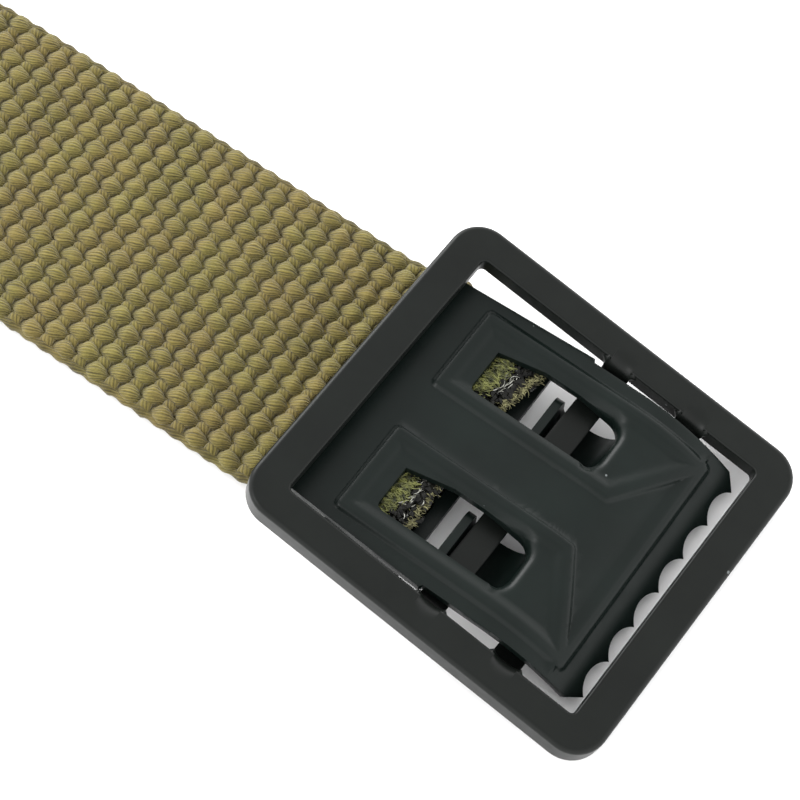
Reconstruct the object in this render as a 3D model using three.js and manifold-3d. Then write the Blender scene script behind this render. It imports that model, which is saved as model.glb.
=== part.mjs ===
// Trouser belt of cotton webbing with an open frame buckle of blackened sheet steel.
// A toothed lever hooks round the frame's hinge bar and holds the web's cut end in its folded flaps.
// Millimetres. The belt lies flat on a surface at z = 0: +X runs along the strap to the buckle,
// +Z is up, and the origin is the middle of the footprint.

import * as THREE from 'three';
import { mergeVertices } from 'three/addons/utils/BufferGeometryUtils.js';
import Module from 'manifold-3d';

const wasm = await Module();
wasm.setup();

const DEG = Math.PI / 180;

// Sheet steel and running gaps
const SHEET = 1.0;                  // thickness of the frame's and the lever's sheet
const GAP = 0.3;                    // air between neighbouring pieces
const BEND_RADIUS = 1.0;            // middle radius of the tight bends

// Webbing
const WEB_WIDTH = 32;
const WEB_THICKNESS = 2.3;
const WEB_EDGE = 0.7;               // how far the selvedge's corners are rounded off
const BELT_LENGTH = 1100;           // from the web's cut end to its free end
const WEB_RISE_LENGTH = 13;         // stretch in which the web climbs from the table to the lever
const WEB_SQUEEZE = 5;              // stretch in which it narrows to the flaps' inside width

// Frame: a flanged rounded rectangle whose opening leaves the lever some play
const SIDE_PLAY = 0.75;             // between the lever's widest place and each rail
const TOOTH_PLAY = 0.42;            // between the teeth and the right bar, the frame laid level
const LEVER_SETBACK = 3.32;         // from the frame's left edge to the lever's left end
const BAR_WIDTH = 4.1;              // the two short bars
const RAIL_WIDTH = 3.7;             // the two long rails
const FRAME_CORNER = 3.7;
const OPENING_CORNER = 0.6;
const OUTER_WALL = 3.0;             // height of the outer flange
const INNER_WALL = 2.1;             // height of the flange round the opening
const EDGE_ROUND = 0.6;             // rounding of the front edges

// Cross bars of the frame, sunk below its front face
const BAR_DROP = 3.4;               // from the front face to the bars' upper face
const HINGE_BAR_WIDTH = 3.2;
const CLAMP_BAR_WIDTH = 3.4;
const BAR_SPACING = 9.5;            // from the hinge bar's middle to the clamp bar's
const EAR_PROUD = 0.55;             // how far the bars' ears stand into the opening

// Lever: flat at first, then curved down to the teeth, a from its left end along the sheet
const LEVER_FLAT = 23.7;
const LEVER_ARC_RADIUS = 20;
const LEVER_ARC_TURN = 40 * DEG;
const LEVER_TILT = 3 * DEG;         // the flat part falls towards the teeth
const LEVER_SKEW = 1.1 * DEG;       // the lever sits a little askew in the loose frame
const LEVER_OVER = 0.05;            // its widest place stands past the web on each side
const STEP_A = 17.15;               // where its sides step in
const STEP_DEPTH = 0.4;
const LEVER_LEFT_TAPER = 0.95;      // how much narrower each side is at the left end
const LEVER_TOOTH_TAPER = 0.2;      // and at the teeth

// Teeth
const TOOTH_COUNT = 7;
const TOOTH_SIDE = 1.4;             // from the last tooth's tip to the lever's side
const TOOTH_DEPTH = 1.3;
const TOOTH_CORNER_RUN = 1.7;       // slanted corner beyond the last tooth, along the lever

// Raised beads round the windows and along the teeth
const BEAD_HEIGHT = 0.45;
const BEAD_WIDTH = 2.4;             // foot to foot
const BEAD_CREST = 0.5;             // flat top
const BEAD_LEFT = 5.7;              // the loops' left side, from the lever's left end
const TOOTH_STRIP = 4.45;           // from the teeth's tips to the straight bead beside them
const KNEE_RUN = 6.4;               // from that bead to where the loops' slanted ends begin
const BEAD_MARGIN = 2.3;            // from the lever's side to the loops' outer sides
const BEAD_INNER = 3.6;             // from its centre line to their inner sides
const BEAD_CELLS = 10;              // sheet cells along a loop's slanted end
const BEAD_SHARES = [-1, -0.6, -0.25, 0.25, 0.6, 1];   // places across a bead, in half widths

// Windows and the tongues bent down from them
const WINDOW_LEFT = 8.6;
const WINDOW_RIGHT = 24.3;
const WINDOW_MARGIN = 1.65;         // between a window and the bead on each side of it
const WINDOW_INSET = 0.15;          // how far it lies off the middle between them, inwards
const WINDOW_SLANT = 5.7;           // length of the slanted upper left corner
const WINDOW_SLANT_DROP = 1.05;     // how far it falls
const WINDOW_CORNER = 1.9;          // rounding of the right end
const WINDOW_NICK = 0.7;            // cut corner at the lower left
const HOOK_SIDE_GAP = 0.35;
const HOOK_SUNK = 0.1;              // the tongue's root lies this much below the sheet's face
const HOOK_DEPTH = 6.33;            // from the lever's upper face to the hooks' underside
const HOOK_BEND = 1.7;              // middle radius of the hook's lower bends
const HOOK_TIP_X = 16.55;           // middle of the upturned tip
const HOOK_TIP_BELOW = 2.0;         // tip's end below the lever's upper face

// Flaps folded down and in under the web
const FLAP_LEFT = 5.0;
const FLAP_RIGHT = 14.05;
const FLAP_REACH = 13;              // how far each flap runs in from the lever's side
const WEB_END = 12.4;               // the web's cut end, from the lever's left end

// Metal tip on the free end
const TIP_LENGTH = 14;
const TIP_SHEET = 0.5;
const TIP_OVERHANG = 0.6;           // tip wider than the web on each side
const TIP_RISE_LENGTH = 30;         // stretch in which the web climbs into the tip

// Smoothness of curves, and how far a cutter reaches beyond what it cuts
const ARC_STEP = 15 * DEG;
const ARC_POINTS = 5;               // along a quarter circle of a flat outline
const ROUND_SIDES = 32;             // of a whole circle
const CLEAR = 1;
const WEB_STEPS = 8;                // stations along the web's rise to the lever
const TIP_STEPS = 4;                // and along its rise into the tip

// What follows from these sizes
const STEP_HALF_WIDTH = WEB_WIDTH / 2 + LEVER_OVER;
const LEVER_HALF_WIDTH = STEP_HALF_WIDTH - STEP_DEPTH;
const LEVER_END = LEVER_FLAT + LEVER_ARC_RADIUS * LEVER_ARC_TURN;
const TOOTH_PITCH = 2 * (LEVER_HALF_WIDTH - LEVER_TOOTH_TAPER - TOOTH_SIDE) / (TOOTH_COUNT - 1);
const BEAD_TEETH = LEVER_END - TOOTH_STRIP;
const BEAD_KNEE = BEAD_TEETH - KNEE_RUN;
const BEAD_OUTER = LEVER_HALF_WIDTH - BEAD_MARGIN;
const WINDOW_WIDTH = BEAD_OUTER - BEAD_INNER - 2 * WINDOW_MARGIN;
const WINDOW_OFFSET = (BEAD_OUTER + BEAD_INNER) / 2 - WINDOW_INSET;
const HINGE_A = HOOK_TIP_X + SHEET / 2 + GAP + Math.hypot(HINGE_BAR_WIDTH, SHEET) / 2;
const HINGE_BAR_X = HINGE_A + LEVER_SETBACK;
const CLAMP_BAR_X = HINGE_BAR_X + BAR_SPACING;
const TOOTH_X = LEVER_FLAT + LEVER_ARC_RADIUS * Math.sin(LEVER_ARC_TURN);
const FRAME_LENGTH = LEVER_SETBACK + TOOTH_X + TOOTH_PLAY + BAR_WIDTH;
const FRAME_WIDTH = 2 * (STEP_HALF_WIDTH + SIDE_PLAY + RAIL_WIDTH);

// A closed geometry as a solid for joining and cutting
function solid(geometry) {
  const bare = geometry.clone();
  bare.deleteAttribute('normal');
  bare.deleteAttribute('uv');
  const merged = mergeVertices(bare, 1e-4);
  return new wasm.Manifold(new wasm.Mesh({
    numProp: 3,
    vertProperties: new Float32Array(merged.attributes.position.array),
    triVerts: new Uint32Array(merged.index.array),
  }));
}

// The solid back as a geometry to show
function geometryOf(manifold) {
  const mesh = manifold.getMesh();
  const geometry = new THREE.BufferGeometry();
  geometry.setAttribute('position', new THREE.BufferAttribute(new Float32Array(mesh.vertProperties), 3));
  geometry.setIndex(new THREE.BufferAttribute(new Uint32Array(mesh.triVerts), 1));
  geometry.computeVertexNormals();
  return geometry;
}

// A rectangle with round corners, from its two x limits and its half width in y
function roundedRectangle(left, right, half, radius) {
  const shape = new THREE.Shape();
  shape.moveTo(left + radius, -half);
  shape.lineTo(right - radius, -half);
  shape.absarc(right - radius, -half + radius, radius, -90 * DEG, 0);
  shape.absarc(right - radius, half - radius, radius, 0, 90 * DEG);
  shape.absarc(left + radius, half - radius, radius, 90 * DEG, 180 * DEG);
  shape.absarc(left + radius, -half + radius, radius, 180 * DEG, 270 * DEG);
  return shape;
}

// A plate of a flat outline between two heights
function plate(shape, low, high) {
  const geometry = new THREE.ExtrudeGeometry(shape, {
    depth: high - low, curveSegments: ARC_POINTS, bevelEnabled: false,
  });
  return solid(geometry.translate(0, 0, low));
}

// The outline of a sheet bent in one plane. Each step is a straight run, or a bend by an angle
// (positive to the left of the heading) about a radius in the middle of the sheet.
function bentSheet(start, heading, steps, thickness) {
  const stations = [{ at: start.clone(), heading }];
  for (const step of steps) {
    const from = stations[stations.length - 1];
    if (step.run !== undefined) {
      const along = new THREE.Vector2(Math.cos(from.heading), Math.sin(from.heading));
      stations.push({ at: from.at.clone().addScaledVector(along, step.run), heading: from.heading });
      continue;
    }
    const side = Math.sign(step.bend);
    const toCentre = from.heading + side * 90 * DEG;
    const centre = from.at.clone().add(new THREE.Vector2(Math.cos(toCentre), Math.sin(toCentre))
      .multiplyScalar(step.radius));
    const count = Math.max(1, Math.round(Math.abs(step.bend) / ARC_STEP));
    for (let i = 1; i <= count; i++) {
      const turned = from.heading + step.bend * i / count;
      const outward = turned - side * 90 * DEG;
      const at = centre.clone().add(new THREE.Vector2(Math.cos(outward), Math.sin(outward))
        .multiplyScalar(step.radius));
      stations.push({ at, heading: turned });
    }
  }
  const side = (station, sign) => new THREE.Vector2(-Math.sin(station.heading), Math.cos(station.heading))
    .multiplyScalar(sign * thickness / 2).add(station.at);
  const left = stations.map((station) => side(station, 1));
  const right = stations.map((station) => side(station, -1));
  return new THREE.Shape(right.concat(left.reverse()));
}

// A shape drawn in the X-Z plane, made `width` wide about the plane y = middle
function acrossBelt(shape, width, middle) {
  const geometry = new THREE.ExtrudeGeometry(shape, { depth: width, bevelEnabled: false });
  return solid(geometry.rotateX(90 * DEG).translate(0, middle + width / 2, 0));
}

// A shape drawn in the Y-Z plane, made `length` long about the plane x = middle
function alongBelt(shape, length, middle) {
  const geometry = new THREE.ExtrudeGeometry(shape, { depth: length, bevelEnabled: false });
  const turn = new THREE.Matrix4().makeBasis(
    new THREE.Vector3(0, 1, 0), new THREE.Vector3(0, 0, 1), new THREE.Vector3(1, 0, 0));
  return solid(geometry.applyMatrix4(turn).translate(middle - length / 2, 0, 0));
}

// A closed skin over rows of points: each row is a ring, and the first and last rings are capped.
// `crossed` says at which places of a ring the cells are halved along their other diagonal.
function loft(rings, crossed = () => false) {
  const count = rings[0].length;
  const positions = rings.flat().flatMap((point) => [point.x, point.y, point.z]);
  const index = [];
  for (let i = 0; i + 1 < rings.length; i++) {
    for (let j = 0; j < count; j++) {
      const a = i * count + j;
      const b = i * count + (j + 1) % count;
      if (crossed(j)) index.push(a, b, a + count, b, b + count, a + count);
      else index.push(a, b, b + count, a, b + count, a + count);
    }
  }
  const last = (rings.length - 1) * count;
  for (let j = 1; j + 1 < count; j++) {
    index.push(0, j + 1, j);
    index.push(last, last + j, last + j + 1);
  }
  const geometry = new THREE.BufferGeometry();
  geometry.setAttribute('position', new THREE.Float32BufferAttribute(positions, 3));
  geometry.setIndex(index);
  geometry.computeVertexNormals();
  return geometry;
}

const smooth = (x) => {
  const t = Math.min(Math.max(x, 0), 1);
  return t * t * (3 - 2 * t);
};

// Frame, in its own coordinates: front face at z = 0, x from the outer edge of the left bar
function frameSolid() {
  const half = FRAME_WIDTH / 2;
  const openHalf = half - RAIL_WIDTH;
  const openRight = FRAME_LENGTH - BAR_WIDTH;
  const outer = roundedRectangle(EDGE_ROUND, FRAME_LENGTH - EDGE_ROUND, half - EDGE_ROUND,
    FRAME_CORNER - EDGE_ROUND);
  const blank = new THREE.ExtrudeGeometry(outer, {
    depth: OUTER_WALL, curveSegments: ARC_POINTS + 1, bevelEnabled: true,
    bevelThickness: EDGE_ROUND, bevelSize: EDGE_ROUND, bevelSegments: 3,
  });
  const below = plate(roundedRectangle(-CLEAR, FRAME_LENGTH + CLEAR, half + CLEAR, CLEAR),
    -3 * OUTER_WALL, -OUTER_WALL);
  const opening = roundedRectangle(BAR_WIDTH, openRight, openHalf, OPENING_CORNER);
  const flange = roundedRectangle(BAR_WIDTH - SHEET, openRight + SHEET, openHalf + SHEET,
    OPENING_CORNER + SHEET);
  const inside = () => roundedRectangle(SHEET, FRAME_LENGTH - SHEET, half - SHEET, FRAME_CORNER - SHEET);
  const channel = inside();
  channel.holes.push(new THREE.Path(flange.getPoints(ARC_POINTS)));
  return solid(blank.translate(0, 0, -OUTER_WALL - EDGE_ROUND))
    .subtract(below)
    .subtract(plate(inside(), -2 * OUTER_WALL, -INNER_WALL))
    .subtract(plate(channel, -INNER_WALL, -SHEET))
    .subtract(plate(opening, -OUTER_WALL, EDGE_ROUND))
    .add(crossBar(HINGE_BAR_X, HINGE_BAR_WIDTH))
    .add(crossBar(CLAMP_BAR_X, CLAMP_BAR_WIDTH));
}

// A strip that leaves one rail, drops by an ear, crosses the opening and rises to the other rail
function crossBar(middle, width) {
  const earMiddle = FRAME_WIDTH / 2 - RAIL_WIDTH - EAR_PROUD + SHEET / 2;
  const start = new THREE.Vector2(-earMiddle - 2 * BEND_RADIUS, -SHEET / 2);
  const drop = { run: BAR_DROP - 2 * BEND_RADIUS };
  const shape = bentSheet(start, 0, [
    { run: BEND_RADIUS }, { bend: -90 * DEG, radius: BEND_RADIUS }, drop,
    { bend: 90 * DEG, radius: BEND_RADIUS }, { run: 2 * (earMiddle - BEND_RADIUS) },
    { bend: 90 * DEG, radius: BEND_RADIUS }, drop,
    { bend: -90 * DEG, radius: BEND_RADIUS }, { run: BEND_RADIUS },
  ], SHEET);
  return alongBelt(shape, width, middle);
}

// A point of the lever's sheet: a along it, t across it, lift off its upper face
function leverPoint(a, t, lift) {
  const turn = Math.max(a - LEVER_FLAT, 0) / LEVER_ARC_RADIUS;
  const reach = LEVER_ARC_RADIUS + lift;
  return new THREE.Vector3(
    Math.min(a, LEVER_FLAT) + reach * Math.sin(turn), t, reach * Math.cos(turn) - LEVER_ARC_RADIUS);
}

// Half the lever's width at a
function leverHalf(a) {
  if (a <= STEP_A) return STEP_HALF_WIDTH - LEVER_LEFT_TAPER * (1 - a / STEP_A);
  if (a <= LEVER_FLAT) return LEVER_HALF_WIDTH;
  return LEVER_HALF_WIDTH - LEVER_TOOTH_TAPER * (a - LEVER_FLAT) / (LEVER_END - LEVER_FLAT);
}

// Height of the beads at a, t: two four-sided loops and the straight bead that joins them
const beadLoop = [
  [BEAD_LEFT, BEAD_OUTER], [BEAD_TEETH, BEAD_OUTER], [BEAD_KNEE, BEAD_INNER], [BEAD_LEFT, BEAD_INNER],
];
function beadLift(a, t) {
  const point = new THREE.Vector3(a, Math.abs(t), 0);
  const nearest = new THREE.Vector3();
  let distance = Math.abs(t) < BEAD_OUTER ? Math.abs(a - BEAD_TEETH) : Infinity;
  beadLoop.forEach(([fromA, fromT], i) => {
    const [toA, toT] = beadLoop[(i + 1) % beadLoop.length];
    new THREE.Line3(new THREE.Vector3(fromA, fromT, 0), new THREE.Vector3(toA, toT, 0))
      .closestPointToPoint(point, true, nearest);
    distance = Math.min(distance, nearest.distanceTo(point));
  });
  return BEAD_HEIGHT * smooth((BEAD_WIDTH / 2 - distance) / (BEAD_WIDTH / 2 - BEAD_CREST / 2));
}

// Places along the lever where its sheet gets a row of points. They lie close where a bead
// crosses the lever, and there one cell's diagonal runs along the loops' slanted ends.
function leverStations() {
  const cell = (BEAD_TEETH - BEAD_KNEE) / BEAD_CELLS;
  const stations = [0, STEP_A, STEP_A + GAP / 2, LEVER_FLAT, (LEVER_FLAT + BEAD_KNEE - 2 * cell) / 2];
  for (const share of BEAD_SHARES) stations.push(BEAD_LEFT + share * BEAD_WIDTH / 2);
  for (let i = -2; i <= BEAD_CELLS + 2; i++) stations.push(BEAD_KNEE + i * cell);
  for (const share of [1 / 3, 2 / 3, 1]) {
    stations.push(BEAD_TEETH + 2 * cell + share * (LEVER_END - BEAD_TEETH - 2 * cell));
  }
  return stations.sort((a, b) => a - b);
}

// The lever's sheet with its beads, before the windows and teeth are cut
function leverSheet() {
  const cell = (BEAD_OUTER - BEAD_INNER) / BEAD_CELLS;
  const inner = [];
  const count = Math.round(BEAD_OUTER / cell) + 1;
  for (let j = -count; j <= count; j++) inner.push(j * cell);
  const rings = [];
  for (const a of leverStations()) {
    const half = leverHalf(a);
    const columns = [-half, ...inner, half].map((t) => [t, beadLift(a, t)]);
    const under = columns.map(([t, lift]) => leverPoint(a, t, lift - SHEET));
    const over = columns.map(([t, lift]) => leverPoint(a, t, lift)).reverse();
    rings.push(under.concat(over));
  }
  return solid(sheetSkin(rings));
}

// A skin over rings whose two halves face each other, capped by strips between the halves
function sheetSkin(rings) {
  const count = rings[0].length;
  const geometry = loft(rings, (j) => j % (count / 2) < count / 4 - 0.5);
  const index = Array.from(geometry.index.array).slice(0, (rings.length - 1) * count * 6);
  const last = (rings.length - 1) * count;
  for (let j = 0; j + 1 < count / 2; j++) {
    const over = count - 1 - j;
    index.push(j, over, over - 1, j, over - 1, j + 1);
    index.push(last + j, last + over - 1, last + over, last + j, last + j + 1, last + over - 1);
  }
  geometry.setIndex(index);
  return geometry;
}

// Both windows have the same outline, with a slanted upper left corner
function windowCutter(centre) {
  const low = centre - WINDOW_WIDTH / 2;
  const high = centre + WINDOW_WIDTH / 2;
  const shape = new THREE.Shape();
  shape.moveTo(WINDOW_LEFT + WINDOW_NICK, low);
  shape.lineTo(WINDOW_RIGHT - WINDOW_CORNER, low);
  shape.absarc(WINDOW_RIGHT - WINDOW_CORNER, low + WINDOW_CORNER, WINDOW_CORNER, -90 * DEG, 0);
  shape.absarc(WINDOW_RIGHT - WINDOW_CORNER, high - WINDOW_CORNER, WINDOW_CORNER, 0, 90 * DEG);
  shape.lineTo(WINDOW_LEFT + WINDOW_SLANT, high);
  shape.lineTo(WINDOW_LEFT, high - WINDOW_SLANT_DROP);
  shape.lineTo(WINDOW_LEFT, low + WINDOW_NICK);
  return plate(shape, -2 * SHEET, 2 * SHEET);
}

// A hook: the window's tongue bent down at its right end, round under the hinge bar and up again
function hook(centre) {
  const start = new THREE.Vector2(WINDOW_RIGHT + BEND_RADIUS, -SHEET / 2 - HOOK_SUNK);
  const lowMiddle = SHEET / 2 - HOOK_DEPTH;
  const downRun = start.y - BEND_RADIUS - (lowMiddle + HOOK_BEND);
  const wallX = start.x - 1.5 * BEND_RADIUS;
  const shape = bentSheet(start, 180 * DEG, [
    { run: BEND_RADIUS / 2 }, { bend: 90 * DEG, radius: BEND_RADIUS }, { run: downRun },
    { bend: -90 * DEG, radius: HOOK_BEND }, { run: wallX - 2 * HOOK_BEND - HOOK_TIP_X },
    { bend: -90 * DEG, radius: HOOK_BEND },
    { run: -HOOK_TIP_BELOW - (lowMiddle + HOOK_BEND) },
  ], SHEET);
  return acrossBelt(shape, WINDOW_WIDTH - 2 * HOOK_SIDE_GAP, centre);
}

// Everything beyond the toothed edge, cut square to the sheet there
function toothCutter() {
  const scallopRadius = ((TOOTH_PITCH / 2) ** 2 + TOOTH_DEPTH ** 2) / (2 * TOOTH_DEPTH);
  const reach = 4 * SHEET;
  const lastTip = TOOTH_PITCH * (TOOTH_COUNT - 1) / 2;
  let cutter = null;
  const join = (piece) => {
    cutter = cutter === null ? piece : cutter.add(piece);
  };
  for (let i = 0; i + 1 < TOOTH_COUNT; i++) {
    const round = new THREE.CylinderGeometry(scallopRadius, scallopRadius, 2 * reach, ROUND_SIDES);
    join(solid(round.rotateX(90 * DEG)
      .translate(scallopRadius - TOOTH_DEPTH, TOOTH_PITCH * (i + 0.5) - lastTip, 0)));
  }
  for (const side of [-1, 1]) {
    const corner = new THREE.Shape([
      new THREE.Vector2(0, side * lastTip),
      new THREE.Vector2(reach, side * lastTip),
      new THREE.Vector2(reach, side * (LEVER_HALF_WIDTH + CLEAR)),
      new THREE.Vector2(-TOOTH_CORNER_RUN, side * (LEVER_HALF_WIDTH + CLEAR)),
      new THREE.Vector2(-TOOTH_CORNER_RUN, side * (LEVER_HALF_WIDTH - LEVER_TOOTH_TAPER)),
    ]);
    join(plate(corner, -reach, reach));
  }
  const edge = leverPoint(LEVER_END, 0, 0);
  const place = new THREE.Matrix4().makeRotationY(LEVER_ARC_TURN).setPosition(edge);
  return cutter.transform(place.toArray());
}

// One side's flap: down beside the web and in under it
function flap(side) {
  const drop = 2 * SHEET + WEB_THICKNESS + 2 * GAP;
  const wallAt = (a) => leverHalf(a) - SHEET;
  const outline = new THREE.Shape([
    new THREE.Vector2(FLAP_LEFT, side * leverHalf(FLAP_LEFT)),
    new THREE.Vector2(FLAP_RIGHT, side * leverHalf(FLAP_RIGHT)),
    new THREE.Vector2(FLAP_RIGHT, side * (leverHalf(FLAP_RIGHT) - FLAP_REACH)),
    new THREE.Vector2(FLAP_LEFT, side * (leverHalf(FLAP_LEFT) - FLAP_REACH)),
  ]);
  const hollow = new THREE.Shape([
    new THREE.Vector2(FLAP_LEFT - CLEAR, side * wallAt(FLAP_LEFT - CLEAR)),
    new THREE.Vector2(FLAP_RIGHT + CLEAR, side * wallAt(FLAP_RIGHT + CLEAR)),
    new THREE.Vector2(FLAP_RIGHT + CLEAR, 0),
    new THREE.Vector2(FLAP_LEFT - CLEAR, 0),
  ]);
  return plate(outline, -drop, -SHEET / 2).subtract(plate(hollow, SHEET - drop, 0));
}

function leverSolid() {
  let lever = leverSheet();
  for (const centre of [-WINDOW_OFFSET, WINDOW_OFFSET]) {
    lever = lever.subtract(windowCutter(centre)).add(hook(centre));
  }
  return lever.subtract(toothCutter()).add(flap(1)).add(flap(-1));
}

// Where the lever, the frame and the web lie: the hooks stand on the table, and so does the
// right bar of the frame, whose hinge bar lies in the middle of the hooks' height
const hingeInLever = new THREE.Vector3(HINGE_A, 0, -HOOK_DEPTH / 2);
const hookLowX = WINDOW_RIGHT - BEND_RADIUS / 2 - HOOK_BEND;
const leverHeight = HOOK_DEPTH * Math.cos(LEVER_TILT) + hookLowX * Math.sin(LEVER_TILT);
const leverPlace = new THREE.Matrix4().makeRotationY(LEVER_TILT).setPosition(0, 0, leverHeight);
const hinge = hingeInLever.clone().applyMatrix4(leverPlace);

const barToEdge = FRAME_LENGTH - HINGE_BAR_X;
const barBelowWall = BAR_DROP + SHEET / 2 - OUTER_WALL;
const frameTilt = Math.asin(hinge.z / Math.hypot(barToEdge, barBelowWall))
  + Math.atan2(barBelowWall, barToEdge);

// The web's middle line in the X-Z plane and its half width, from the free end to the cut end
function webStation(x) {
  const inLever = new THREE.Vector3(0, 0, -SHEET - GAP - WEB_THICKNESS / 2).applyMatrix4(leverPlace);
  const leverZ = inLever.z - Math.tan(LEVER_TILT) * (x - inLever.x);
  const riseEnd = FLAP_LEFT;
  const climb = smooth((x - riseEnd + WEB_RISE_LENGTH) / WEB_RISE_LENGTH);
  const tipClimb = smooth((webFreeEnd + TIP_LENGTH + TIP_RISE_LENGTH - x) / TIP_RISE_LENGTH);
  const tableZ = WEB_THICKNESS / 2 + (TIP_SHEET + GAP) * tipClimb;
  const squeezed = leverHalf(FLAP_LEFT) - SHEET - GAP;
  const narrow = smooth((x - FLAP_LEFT + WEB_SQUEEZE) / WEB_SQUEEZE);
  const half = WEB_WIDTH / 2 + (squeezed - WEB_WIDTH / 2) * narrow;
  return { z: tableZ + (leverZ - tableZ) * climb, half };
}

const webCutEnd = WEB_END;
const webFreeEnd = webCutEnd - BELT_LENGTH;

// The web as a loft of flat sections with rounded selvedges
function webGeometry() {
  const places = [webFreeEnd, webFreeEnd + TIP_LENGTH];
  for (let i = 1; i <= TIP_STEPS; i++) {
    places.push(webFreeEnd + TIP_LENGTH + TIP_RISE_LENGTH * i / TIP_STEPS);
  }
  const riseStart = FLAP_LEFT - WEB_RISE_LENGTH;
  places.push(riseStart / 2 + webFreeEnd / 2);
  for (let i = 0; i <= WEB_STEPS; i++) places.push(riseStart + WEB_RISE_LENGTH * i / WEB_STEPS);
  places.push(webCutEnd);
  const thin = WEB_THICKNESS / 2;
  const rings = places.map((x) => {
    const { z, half } = webStation(x);
    const flat = half - WEB_EDGE;
    const side = thin - WEB_EDGE;
    const corners = [
      [-half, -side], [-flat, -thin], [flat, -thin], [half, -side],
      [half, side], [flat, thin], [-flat, thin], [-half, side],
    ];
    return corners.map(([y, up]) => new THREE.Vector3(x, y, z + up));
  });
  return loft(rings);
}

// The tip: a sheet folded round the web's free end
function tipGeometry() {
  const middle = webStation(webFreeEnd).z;
  const radius = WEB_THICKNESS / 2 + GAP + TIP_SHEET / 2;
  const shape = bentSheet(new THREE.Vector2(webFreeEnd + TIP_LENGTH, middle + radius), 180 * DEG, [
    { run: TIP_LENGTH }, { bend: 180 * DEG, radius }, { run: TIP_LENGTH },
  ], TIP_SHEET);
  return geometryOf(acrossBelt(shape, WEB_WIDTH + 2 * TIP_OVERHANG, 0));
}

const cotton = new THREE.MeshStandardMaterial({ color: 0x7d7346, roughness: 0.95, metalness: 0 });
const blackSteel = new THREE.MeshStandardMaterial({ color: 0x2c302f, roughness: 0.45, metalness: 0.6 });

function named(name, geometry, material) {
  const mesh = new THREE.Mesh(geometry, material);
  mesh.name = name;
  return mesh;
}

// The frame hangs on the hinge: it tilts about the bar and stands a little askew
const framePivot = new THREE.Group();
framePivot.position.copy(hinge);
framePivot.rotation.set(0, frameTilt, -LEVER_SKEW, 'ZYX');
const frame = named('frame', geometryOf(frameSolid()), blackSteel);
frame.position.set(-HINGE_BAR_X, 0, BAR_DROP + SHEET / 2);
framePivot.add(frame);

const lever = named('lever', geometryOf(leverSolid()), blackSteel);
lever.position.set(0, 0, leverHeight);
lever.rotation.y = LEVER_TILT;

// The whole belt, centred over the middle of its footprint
const belt = new THREE.Group();
belt.add(framePivot, lever);
belt.add(named('strap', webGeometry(), cotton), named('strap_tip', tipGeometry(), blackSteel));
belt.updateMatrixWorld(true);
const reach = new THREE.Box3().setFromObject(belt, true);
belt.position.x = -(reach.min.x + reach.max.x) / 2;

export default belt;
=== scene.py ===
# %% [markdown]
# A trouser belt of cotton webbing with an open-frame buckle of blackened sheet steel. The packed
# model gives the sizes and the two moving bodies: the strap with its lever, and the frame that hangs
# on the lever's hooks. X runs along the strap to the buckle, Y across it and Z up from the table.

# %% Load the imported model
import math
import random

import bmesh
import bpy
import numpy as np
from mathutils import Matrix, Vector


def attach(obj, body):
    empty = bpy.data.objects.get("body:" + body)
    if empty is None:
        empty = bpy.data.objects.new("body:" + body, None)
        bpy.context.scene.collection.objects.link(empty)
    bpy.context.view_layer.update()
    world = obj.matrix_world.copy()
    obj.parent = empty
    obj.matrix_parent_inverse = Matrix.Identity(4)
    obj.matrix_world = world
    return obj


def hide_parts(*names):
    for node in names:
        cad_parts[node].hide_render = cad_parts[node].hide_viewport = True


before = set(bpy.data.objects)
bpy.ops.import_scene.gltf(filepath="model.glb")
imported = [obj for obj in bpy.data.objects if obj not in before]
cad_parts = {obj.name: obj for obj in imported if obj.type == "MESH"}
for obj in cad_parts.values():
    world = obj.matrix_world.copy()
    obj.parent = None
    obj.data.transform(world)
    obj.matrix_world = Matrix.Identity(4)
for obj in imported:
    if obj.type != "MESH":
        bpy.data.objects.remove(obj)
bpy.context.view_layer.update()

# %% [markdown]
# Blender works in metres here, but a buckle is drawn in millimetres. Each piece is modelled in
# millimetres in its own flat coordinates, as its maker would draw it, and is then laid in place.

MM = 0.001
BUCKLE_BODY = "frame"
STRAP_BODY = "strap_and_lever"
SHEET = 1.0
WEB_WIDTH = 32.0
WEB_THICKNESS = 2.3

# %% [markdown]
# Where the parts lie. The lever falls 3 degrees towards its teeth. The frame hangs on the hinge bar,
# tilts 11 degrees until its right bar meets the table, and sits a degree askew, because it is loose.
# Objects stay at the origin for the export, so one matrix shrinks a finished mesh and places it.

# %% Places of the lever and the frame
LEVER_X = 524.0613
LEVER_Z = 7.4779
LEVER_FALL = math.radians(3.0)
FRAME_CORNER = Vector((521.7074, 0.4068, 11.4116))
FRAME_ASKEW = math.radians(-1.1)
FRAME_TILT = math.radians(10.994)
shrink = Matrix.Scale(MM, 4)
lever_place = (Matrix.Translation(Vector((LEVER_X, 0.0, LEVER_Z)) * MM)
               @ Matrix.Rotation(LEVER_FALL, 4, "Y") @ shrink)
frame_turn = Matrix.Rotation(FRAME_ASKEW, 4, "Z") @ Matrix.Rotation(FRAME_TILT, 4, "Y")
frame_place = Matrix.Translation(FRAME_CORNER * MM) @ frame_turn @ shrink
print("lever starts at, mm:", [round(v / MM, 1) for v in lever_place.translation])

# %% [markdown]
# The camera looks down at 63 degrees from the horizon with a long lens, so the belt's sides stay
# nearly parallel. A Track To constraint would be the quick way to aim it. Its axes are written out
# instead, because they were solved from the corners of the frame and the edges of the web.

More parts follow.
